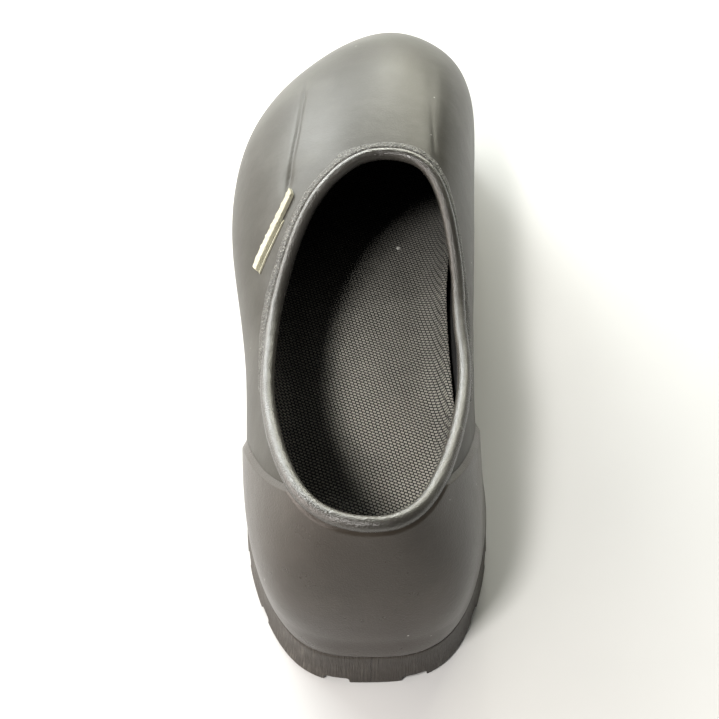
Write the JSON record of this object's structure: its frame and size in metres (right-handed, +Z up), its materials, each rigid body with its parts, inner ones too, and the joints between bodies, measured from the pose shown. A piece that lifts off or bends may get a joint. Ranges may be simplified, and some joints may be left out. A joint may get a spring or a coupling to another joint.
{
  "type": "rubber garden clog",
  "caption": "Left slip-on rubber garden clog with rolled collar, raised heel panel, lined upper, treaded cup sole and a loose woven-covered footbed.",
  "frame": {"origin": "centre of the object's box in plan, on the ground under the tread", "axes": "+Y from toe to heel, +Z up, +X to the outer side of the foot"},
  "size_m": [0.1051, 0.2878, 0.0933],
  "materials": {
    "upper_rubber": "soft satin moulded rubber, dark olive brown",
    "panel_rubber": "soft satin moulded rubber, dark brown",
    "bead_rubber": "smooth, slightly glossy",
    "trim_rubber": "fine grain",
    "badge_plastic": "matt off-white",
    "lining_cloth": "matt knitted",
    "stiffener_board": "matt resin-stiffened felt",
    "sole_rubber": "matt, ribbed side wall",
    "midsole_foam": "matt closed-cell foam",
    "shank_steel": "rolled strip",
    "insole_fibreboard": "matt fibreboard",
    "footbed_foam": "matt open-cell foam",
    "footbed_weave": "coarse dark weave with lighter yarn"
  },
  "bodies": {
    "clog": {"upper_shell": "upper_rubber", "heel_panel": "panel_rubber", "collar_bead": "bead_rubber", "collar_trim": "trim_rubber", "side_badge": "badge_plastic", "lining": "lining_cloth", "heel_stiffener": "stiffener_board", "toe_puff": "stiffener_board", "outsole": "sole_rubber", "midsole": "midsole_foam", "shank": "shank_steel", "insole_board": "insole_fibreboard"},
    "footbed": {"footbed_foam": "footbed_foam", "footbed_cover": "footbed_weave"}
  },
  "joints": [
    {"name": "footbed_lift", "type": "hinge", "parent": "clog", "child": "footbed", "pos_m": [0, -0.1352, 0.0266], "axis": [1, 0, 0], "range_deg": [0, 5]}
  ]
}
